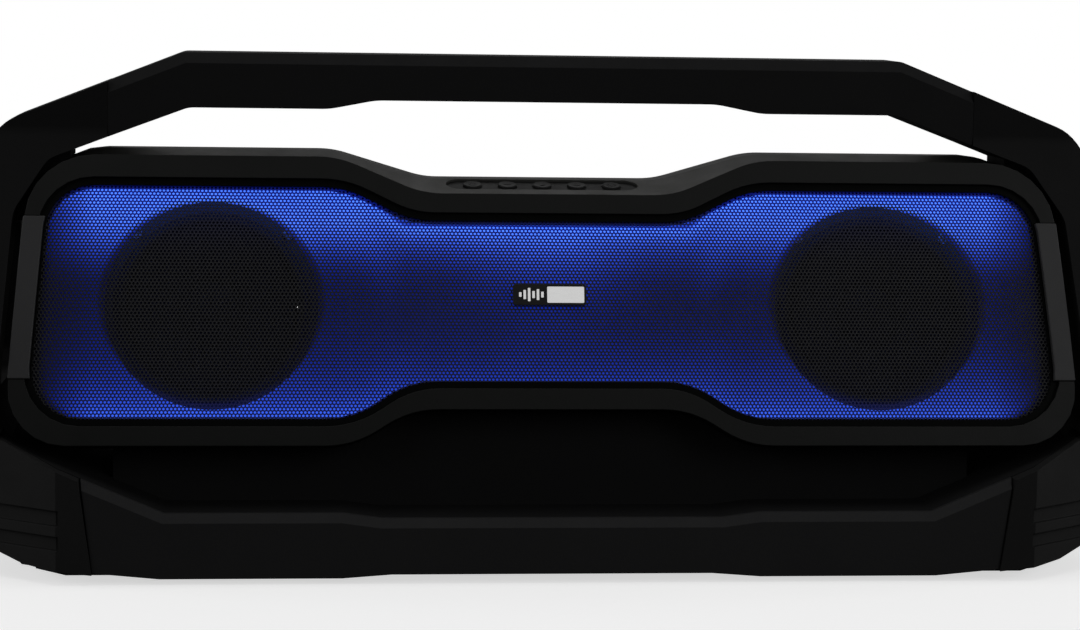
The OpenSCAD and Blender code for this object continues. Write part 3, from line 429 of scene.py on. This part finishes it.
def slot_materials():
    """A node material for each of the record's material slots."""
    colours = {row["slot"]: tuple(row["base_color"]) for row in record["materials"]}

    def tone(slot, factor):
        return shade(colours[slot], factor)

    return {
        "cage_plastic": moulded("cage_plastic", tone("cage_plastic", 0.22), 0.6, specular=0.15),
        # painted light: the base tray gets its own copy of the cage plastic, with a different tone and a weak
        # reflection, set to how bright it looks in the shade under the body
        "tray_plastic_painted_light": moulded("tray_plastic_painted_light", tone("cage_plastic", 0.42), 0.8, specular=0.05),
        "skirt_plastic": moulded("skirt_plastic", tone("skirt_plastic", 0.4), 0.6, specular=0.15),
        "handle_plastic": moulded("handle_plastic", tone("handle_plastic", 0.44), 0.6, specular=0.12),
        "bumper_rubber": moulded("bumper_rubber", tone("bumper_rubber", 0.4), 0.72, grain=0.7 * MM,
                                 specular=0.2),
        "foot_rubber": moulded("foot_rubber", colours["foot_rubber"], 0.8, grain=0.8 * MM, specular=0.15),
        "bezel_plastic": bezel_with_shaded_ledge("bezel_plastic", tone("bezel_plastic", 0.12)),
        "trim_plastic": moulded("trim_plastic", tone("trim_plastic", 0.36), 0.45, grain=0.35 * MM),
        "housing_plastic": moulded("housing_plastic", tone("housing_plastic", 1.2), 0.5, specular=0.2),
        "grille_metal": grille_coat_with_painted_glow("grille_metal", tone("grille_metal", 0.6)),
        "gasket_foam": foam("gasket_foam", colours["gasket_foam"]),
        "badge_plate": metal("badge_plate", (0.02, 0.02, 0.021), 0.4, brushed=(0.05, 1, 1), metallic=0.4),
        "diffuser_acrylic": light_panel("diffuser_acrylic", (0.05, 0.06, 0.12)),
        "led_light": diodes("led_light"),
        "basket_metal": powder_coat("basket_metal", colours["basket_metal"], 0.45),
        "magnet_ferrite": ferrite("magnet_ferrite", colours["magnet_ferrite"]),
        "cone_paper": pulp("cone_paper", tone("cone_paper", 0.6)),
        "surround_rubber": moulded("surround_rubber", colours["surround_rubber"], 0.6, grain=0.5 * MM),
        "spider_cloth": cloth("spider_cloth", colours["spider_cloth"]),
        "baffle_plastic": moulded("baffle_plastic", tone("baffle_plastic", 0.4), 0.6),
        "screw_steel": metal("screw_steel", colours["screw_steel"], 0.5),
        "radiator_metal": metal("radiator_metal", colours["radiator_metal"], 0.4, metallic=0.8),
        "panel_rubber": moulded("panel_rubber", tone("panel_rubber", 0.7), 0.6, specular=0.25),
        "button_rubber": moulded("button_rubber", tone("button_rubber", 0.35), 0.55, grain=0.3 * MM,
                                 specular=0.25),
        "socket_metal": metal("socket_metal", colours["socket_metal"], 0.3),
        "circuit_board": solder_mask("circuit_board", colours["circuit_board"]),
        "cell_wrap": glossy("cell_wrap", colours["cell_wrap"], 0.3),
        "bracket_plastic": moulded("bracket_plastic", colours["bracket_plastic"], 0.55),
        "cable_jacket": glossy("cable_jacket", colours["cable_jacket"], 0.45),
    }


materials = slot_materials()


def paint_cad():
    for row in record["subparts"]:
        mesh = cad[row["node"]].data
        mesh.materials.clear()
        # painted light: the base tray takes its own retoned copy of the cage plastic
        slot = "tray_plastic_painted_light" if row["node"] == "base_tray" else row["material_slot"]
        mesh.materials.append(materials[slot])


# ------------------------------------------------------------------ softened edges of the mouldings

# node: radius of its moulded edges, in millimetres
EDGE_RADII = {
    "handle_shell": 1.6, "left_arm": 1.8, "right_arm": 1.8, "left_bumper": 1.2, "right_bumper": 1.2,
    "front_skirt": 0.6, "rear_skirt": 0.6, "left_side_trim": 0.4, "right_side_trim": 0.4,
    "port_cover": 0.4,
}


def smooth_group(angle):
    """A modifier group that shades smoothly across every edge flatter than angle degrees."""
    tree = bpy.data.node_groups.new("smooth_by_angle", "GeometryNodeTree")
    for way in ("INPUT", "OUTPUT"):
        tree.interface.new_socket("Geometry", in_out=way, socket_type="NodeSocketGeometry")
    entry, leave = tree.nodes.new("NodeGroupInput"), tree.nodes.new("NodeGroupOutput")
    edge = tree.nodes.new("GeometryNodeInputMeshEdgeAngle")
    steep = tree.nodes.new("FunctionNodeCompare")
    steep.data_type, steep.operation = "FLOAT", "GREATER_THAN"
    steep.inputs[1].default_value = math.radians(angle)
    faces, edges = (tree.nodes.new("GeometryNodeSetShadeSmooth") for _ in range(2))
    edges.domain = "EDGE"
    edges.inputs["Shade Smooth"].default_value = False
    tree.links.new(entry.outputs[0], faces.inputs["Geometry"])
    tree.links.new(faces.outputs[0], edges.inputs["Geometry"])
    tree.links.new(edge.outputs["Unsigned Angle"], steep.inputs[0])
    tree.links.new(steep.outputs[0], edges.inputs["Selection"])
    tree.links.new(edges.outputs[0], leave.inputs[0])
    return tree


def soften():
    """Joins each tessellated moulding into one skin and rounds its edges."""
    group = smooth_group(32)
    for node, radius in EDGE_RADII.items():
        obj = cad[node]
        for name in ("custom_normal", "sharp_edge", "sharp_face"):
            if name in obj.data.attributes:
                obj.data.attributes.remove(obj.data.attributes[name])
        weld = obj.modifiers.new("weld", "WELD")
        weld.merge_threshold = 2e-6
        bevel = obj.modifiers.new("bevel", "BEVEL")
        bevel.width = radius * MM
        bevel.segments = 3
        bevel.limit_method = "ANGLE"
        bevel.angle_limit = math.radians(28)
        obj.modifiers.new("smooth", "NODES").node_group = group
        normals = obj.modifiers.new("normals", "WEIGHTED_NORMAL")
        normals.keep_sharp = True


# ------------------------------------------------------------------ the perforated grille

PITCH = 1.8 * MM
HOLE_R = 0.6 * MM
SHEET = 0.6 * MM
HALF_HEIGHT = 60 * MM  # a little more than the grille's
HOLE_SIDES = 12
GRILLE_PIECES = 6


def cell_centres():
    """Centres (u, s) of the holes: a staggered pattern over all of the grille that its seat leaves free."""
    sheet = cad["grille"]
    corners = [v.co for v in sheet.data.vertices]
    tree = BVHTree.FromPolygons(corners, [p.vertices for p in sheet.data.polygons])
    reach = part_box("grille")[1].x
    rows = int(HALF_HEIGHT / (PITCH * math.sqrt(3) / 2))
    rim = 1.9 * MM
    turns = np.linspace(0, 2 * math.pi, 9)[:-1]
    probes = [(0, 0)] + [(rim * math.cos(a), rim * math.sin(a)) for a in turns]
    found = []
    for j in range(-rows, rows + 1):
        s = j * PITCH * math.sqrt(3) / 2
        steps = int(reach / PITCH) + 1
        for i in range(-steps, steps + 1):
            u = (i + 0.5 * (j % 2)) * PITCH
            if all(tree.ray_cast(face_point(u + du, s + ds, 0.02), -FACE_OUT)[0] for du, ds in probes):
                found.append((u, s))
    return np.array(found)


def drum(points, depth):
    """Row-frame positions of (u, s) points on the curved sheet, depth below its front."""
    radius = FACE_R - depth
    turn = points[:, 1] / FACE_R
    v = radius * np.sin(turn)
    w = radius * np.cos(turn) - FACE_R
    mid, up, out = (np.array(x, float) for x in (FACE_MID, FACE_UP, FACE_OUT))
    return mid + np.outer(points[:, 0], np.array(ACROSS)) + np.outer(v, up) + np.outer(w, out)


def around(centres, radius, count, start):
    """count points round each centre, as an array (centres, count, 2)."""
    turn = start + np.arange(count) * 2 * math.pi / count
    ring = np.stack([np.cos(turn), np.sin(turn)], 1) * radius
    return centres[:, None, :] + ring[None]


def perforated_faces(corner_ids, hole_start, cells):
    """Faces of the front (or back) of the sheet: each side of a cell, down to its share of the hole."""
    per_side = HOLE_SIDES // 6
    faces = []
    for k in range(6):
        columns = [corner_ids[:, (k + 1) % 6], corner_ids[:, k]]
        columns += [hole_start + np.arange(cells) * HOLE_SIDES + (k * per_side + step) % HOLE_SIDES
                    for step in range(per_side + 1)]
        faces.append(np.stack(columns, 1))
    return np.concatenate(faces)


def mesh_from(name, points, face_groups):
    """A mesh from numpy points and groups of faces, each group with one number of corners."""
    mesh = bpy.data.meshes.new(name)
    loops = np.concatenate([g.ravel() for g in face_groups]).astype(np.int32)
    totals = np.concatenate([np.full(len(g), g.shape[1]) for g in face_groups]).astype(np.int32)
    starts = np.concatenate([[0], np.cumsum(totals)[:-1]]).astype(np.int32)
    mesh.vertices.add(len(points))
    mesh.vertices.foreach_set("co", points.astype(np.float32).ravel())
    mesh.loops.add(len(loops))
    mesh.loops.foreach_set("vertex_index", loops)
    mesh.polygons.add(len(totals))
    mesh.polygons.foreach_set("loop_start", starts)
    mesh.update(calc_edges=True)
    mesh.validate()
    return mesh


def map_flat(mesh, places, face_groups, lifts):
    """A flat texture map: each group of faces in the upper or the lower half, by its lift."""
    unit = (places - places.min(0)) / np.ptp(places, 0) * (0.98, 0.48) + 0.01
    loops = np.concatenate([g.ravel() for g in face_groups])
    where = unit[loops]
    where[:, 1] += np.concatenate([np.full(g.size, lift) for g, lift in zip(face_groups, lifts)])
    mesh.uv_layers.new(name="OFBake").data.foreach_set("uv", where.astype(np.float32).ravel())


def link(name, mesh, body, slot):
    obj = bpy.data.objects.new(name, mesh)
    bpy.context.scene.collection.objects.link(obj)
    mesh.materials.append(materials[slot])
    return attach(obj, body)


def grille_piece(name, centres):
    """One closed length of perforated sheet."""
    cells = len(centres)
    corners = around(centres, PITCH / math.sqrt(3), 6, math.pi / 6)
    flat, index = np.unique(np.round(corners.reshape(-1, 2), 7), axis=0, return_inverse=True)
    corner_ids = index.reshape(cells, 6)
    holes = around(centres, HOLE_R, HOLE_SIDES, math.pi / 6).reshape(-1, 2)
    layer = np.concatenate([flat, holes])
    points = np.concatenate([drum(layer, 0.0), drum(layer, SHEET)])
    back = len(layer)
    front_faces = perforated_faces(corner_ids, len(flat), cells)
    back_faces = perforated_faces(corner_ids, len(flat), cells)[:, ::-1] + back
    step = np.arange(HOLE_SIDES)
    here = len(flat) + (np.arange(cells)[:, None] * HOLE_SIDES + step).ravel()
    onward = len(flat) + (np.arange(cells)[:, None] * HOLE_SIDES + (step + 1) % HOLE_SIDES).ravel()
    walls = np.stack([here, onward, onward + back, here + back], 1)
    # the rim: cell sides that no neighbour shares
    sides = np.concatenate([np.stack([corner_ids[:, k], corner_ids[:, (k + 1) % 6]], 1) for k in range(6)])
    pairs, first, uses = np.unique(np.sort(sides, 1), axis=0, return_index=True, return_counts=True)
    rim = sides[first[uses == 1]]
    rim_walls = np.stack([rim[:, 1], rim[:, 0], rim[:, 0] + back, rim[:, 1] + back], 1)
    groups = [front_faces, back_faces, walls, rim_walls]
    mesh = mesh_from(name, points, groups)
    map_flat(mesh, np.concatenate([layer, layer]), groups, (0.5, 0.0, 0.5, 0.5))
    return link(name, mesh, "chassis", "grille_metal")


def build_grille():
    centres = cell_centres()
    order = np.lexsort((centres[:, 1], np.round(centres[:, 0] / (PITCH / 2))))
    for i, part in enumerate(np.array_split(centres[order], GRILLE_PIECES)):
        piece = grille_piece(f"grille_mesh_{i + 1}", part)
        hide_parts("grille")


# ------------------------------------------------------------------ badge and key symbols


def solid(name, outlines, place, thickness, body, slot):
    """Closed plates from flat outlines; place puts (x, y, height) into the row frame."""
    mesh = bpy.data.meshes.new(name)
    bm = bmesh.new()
    for outline in outlines:
        low = [bm.verts.new(place(x, y, -thickness / 2)) for x, y in outline]
        high = [bm.verts.new(place(x, y, thickness / 2)) for x, y in outline]
        bm.faces.new(low[::-1])
        bm.faces.new(high)
        for i in range(len(outline)):
            j = (i + 1) % len(outline)
            bm.faces.new([low[i], low[j], high[j], high[i]])
    bmesh.ops.recalc_face_normals(bm, faces=bm.faces)
    bm.to_mesh(mesh)
    bm.free()
    return link(name, mesh, body, slot)


def rectangle(x0, y0, x1, y1, radius=0.0, steps=4):
    """A rectangle's outline, anticlockwise, with rounded corners."""
    if radius == 0:
        return [(x0, y0), (x1, y0), (x1, y1), (x0, y1)]
    points = []
    for cx, cy, start in ((x1 - radius, y0 + radius, -90), (x1 - radius, y1 - radius, 0),
                          (x0 + radius, y1 - radius, 90), (x0 + radius, y0 + radius, 180)):
        for k in range(steps + 1):
            a = math.radians(start + 90 * k / steps)
            points.append((cx + radius * math.cos(a), cy + radius * math.sin(a)))
    return points


def arc_band(radius, width, start, end, steps=20):
    """A curved bar between two angles in degrees."""
    turns = [math.radians(start + (end - start) * k / steps) for k in range(steps + 1)]
    outer = [((radius + width / 2) * math.cos(a), (radius + width / 2) * math.sin(a)) for a in turns]
    inner = [((radius - width / 2) * math.cos(a), (radius - width / 2) * math.sin(a)) for a in turns]
    return outer + inner[::-1]


def scaled(outlines):
    return [[(x * MM, y * MM) for x, y in outline] for outline in outlines]


BADGE_FRONT = 1.42 * MM
FOIL, SYMBOL = 0.16 * MM, 0.24 * MM  # thickness of the badge's foil and of the keys' symbols
BARS = (2.2, 4.4, 6.4, 3.4, 5.2, 2.8)
PALE_PAINTED_GLOW = 0.4  # painted light: the badge's pale panel glows faintly of its own


def build_badge():
    """A plain two-tone badge: a pale panel, and a row of level bars in place of any mark."""

    def place(x, y, height):
        return face_point(x, BADGE_UP + y, BADGE_FRONT + height)

    panel = scaled([rectangle(-1.2, -3.9, 16.4, 3.9, 0.5)])
    solid("badge_panel", panel, place, FOIL, "chassis", "badge_plate")
    bars = [rectangle(-14.6 + 2.1 * i, -h / 2, -13.4 + 2.1 * i, h / 2, 0.2) for i, h in enumerate(BARS)]
    solid("badge_bars", scaled(bars), place, FOIL, "chassis", "badge_plate")
    # painted light: the pale panel and bars are given a faint glow of their own
    pale = metal("badge_pale", (0.8, 0.8, 0.78), 0.45, brushed=(0.05, 1, 1), metallic=0.1, glow=PALE_PAINTED_GLOW)
    for name in ("badge_panel", "badge_bars"):
        bpy.data.objects[name].data.materials[0] = pale


def key_symbols():
    disc = [(1.1 * math.cos(a), 1.1 * math.sin(a)) for a in np.linspace(0, 2 * math.pi, 17)[:-1]]
    sun = [disc]
    for a in np.linspace(0, 2 * math.pi, 9)[:-1]:
        c, s = math.cos(a), math.sin(a)
        corners = [(1.6, -0.18), (2.4, -0.18), (2.4, 0.18), (1.6, 0.18)]
        sun.append([(x * c - y * s, x * s + y * c) for x, y in corners])
    bar = rectangle(-1.8, -0.3, 1.8, 0.3)
    return {
        "power_button": [arc_band(1.7, 0.5, 125, 415), rectangle(-0.25, 0.5, 0.25, 2.3)],
        "volume_down_button": [bar],
        "play_button": [[(-1.2, -1.7), (1.8, 0), (-1.2, 1.7)]],
        "volume_up_button": [bar, rectangle(-0.3, 0.3, 0.3, 1.8), rectangle(-0.3, -1.8, 0.3, -0.3)],
        "light_button": sun,
    }


def build_key_symbols():
    """A raised symbol on the dished top of each key."""
    dish_r, rim_rise = 30.2 * MM, 0.28 * MM
    for key, outlines in key_symbols().items():
        tops = [v.co for v in cad[key].data.vertices]
        high = max(p.dot(KEY_OUT) for p in tops)
        ring = [p for p in tops if high - p.dot(KEY_OUT) < 0.05 * MM]
        middle = sum(ring, Vector()) / len(ring)

        def place(x, y, height, middle=middle):
            lift = (x * x + y * y) / (2 * dish_r) - rim_rise + height
            return middle + ACROSS * x + KEY_UP * y + KEY_OUT * lift

        solid(f"{key}_symbol", scaled(outlines), place, SYMBOL, key, "button_rubber")


# ------------------------------------------------------------------ stage, light and camera

EYE = Vector((-0.134, -1.346, 0.2766))
EYE_YAW, EYE_DOWN, EYE_ROLL = math.radians(5.7), math.radians(6.78), math.radians(0.92)
LENS = 92.4


def build_camera():
    data = bpy.data.cameras.new("camera")
    data.lens = LENS
    data.sensor_width = 36.0
    ahead = Vector((math.sin(EYE_YAW) * math.cos(EYE_DOWN), math.cos(EYE_YAW) * math.cos(EYE_DOWN),
                    -math.sin(EYE_DOWN)))
    right = Vector((math.cos(EYE_YAW), -math.sin(EYE_YAW), 0))
    up = right.cross(ahead)
    across = right * math.cos(EYE_ROLL) + up * math.sin(EYE_ROLL)
    upward = up * math.cos(EYE_ROLL) - right * math.sin(EYE_ROLL)
    turn = Matrix((across, upward, -ahead)).transposed()
    camera = bpy.data.objects.new("camera", data)
    camera.matrix_world = Matrix.Translation(EYE) @ turn.to_4x4()
    bpy.context.scene.collection.objects.link(camera)
    bpy.context.scene.camera = camera


def soft_box(name, place, target, size, power, colour=(1, 1, 1)):
    data = bpy.data.lights.new(name, "AREA")
    data.shape = "RECTANGLE"
    data.size, data.size_y = size
    data.energy = power
    data.color = colour
    lamp = bpy.data.objects.new(name, data)
    lamp.location = place
    lamp.rotation_euler = (Vector(target) - Vector(place)).to_track_quat("-Z", "Y").to_euler()
    bpy.context.scene.collection.objects.link(lamp)


def build_floor():
    """A pale seamless floor that fades into the white backdrop."""
    size, spokes = 12.0, 48
    bm = bmesh.new()
    bmesh.ops.create_circle(bm, cap_ends=True, radius=size, segments=spokes)
    mesh = bpy.data.meshes.new("floor")
    bm.to_mesh(mesh)
    bm.free()
    floor = bpy.data.objects.new("floor", mesh)
    floor.location.z = -0.0002
    bpy.context.scene.collection.objects.link(floor)
    s = Shader("floor")
    seen = s.node("ShaderNodeLightPath").outputs["Is Camera Ray"]
    away = s.vector("LENGTH", s.place)
    fade = s.remap(away, 0.35, 1.3, smooth=True)
    grain = s.noise(2 * MM, 2.0)
    paper = s.node("ShaderNodeBsdfDiffuse", {"Color": (0.8, 0.8, 0.8, 1.0),
                                             "Normal": s.bump(grain, 0.02 * MM)}).outputs[0]
    lit = s.node("ShaderNodeEmission", {"Color": (1, 1, 1, 1), "Strength": 0.62}).outputs[0]
    pale = s.node("ShaderNodeAddShader", {0: paper, 1: lit}).outputs[0]
    white = s.node("ShaderNodeEmission", {"Color": (1, 1, 1, 1), "Strength": 1.0}).outputs[0]
    shown = s.node("ShaderNodeMixShader", {0: fade, 1: pale, 2: white}).outputs[0]
    dim = s.node("ShaderNodeBsdfDiffuse", {"Color": (0.1, 0.1, 0.1, 1.0)}).outputs[0]
    s.output(s.node("ShaderNodeMixShader", {0: seen, 1: dim, 2: shown}).outputs[0])
    mesh.materials.append(s.material)


def build_world():
    """White behind the object for the camera, and a dim studio for everything else."""
    world = bpy.data.worlds.new("studio")
    world.use_nodes = True
    tree = world.node_tree
    tree.nodes.clear()
    seen = tree.nodes.new("ShaderNodeLightPath").outputs["Is Camera Ray"]
    shaders = []
    for level in (0.10, 1.0):
        back = tree.nodes.new("ShaderNodeBackground")
        back.inputs["Color"].default_value = (level, level, level, 1)
        shaders.append(back.outputs[0])
    mix = tree.nodes.new("ShaderNodeMixShader")
    tree.links.new(seen, mix.inputs[0])
    tree.links.new(shaders[0], mix.inputs[1])
    tree.links.new(shaders[1], mix.inputs[2])
    tree.links.new(mix.outputs[0], tree.nodes.new("ShaderNodeOutputWorld").inputs["Surface"])
    bpy.context.scene.world = world


def build_studio():
    middle = (cad_box[0] + cad_box[1]) / 2
    soft_box("top", (0.0, -0.15, 1.5), middle, (1.6, 1.0), 2.8)
    soft_box("front_right", (1.3, -1.6, 0.9), middle, (0.9, 0.9), 4.2)
    soft_box("front_left", (-1.5, -1.2, 0.8), middle, (0.8, 0.8), 2.2)
    soft_box("back", (0.1, 1.5, 1.15), middle, (1.6, 0.6), 2.2)
    soft_box("right", (1.9, 0.15, 0.55), middle, (0.9, 0.7), 5.0)
    soft_box("left", (-1.9, 0.15, 0.55), middle, (0.9, 0.7), 5.0)
    bpy.context.scene.view_settings.view_transform = "Standard"


paint_cad()
soften()
build_grille()
build_badge()
build_key_symbols()
build_floor()
build_world()
build_studio()
build_camera()
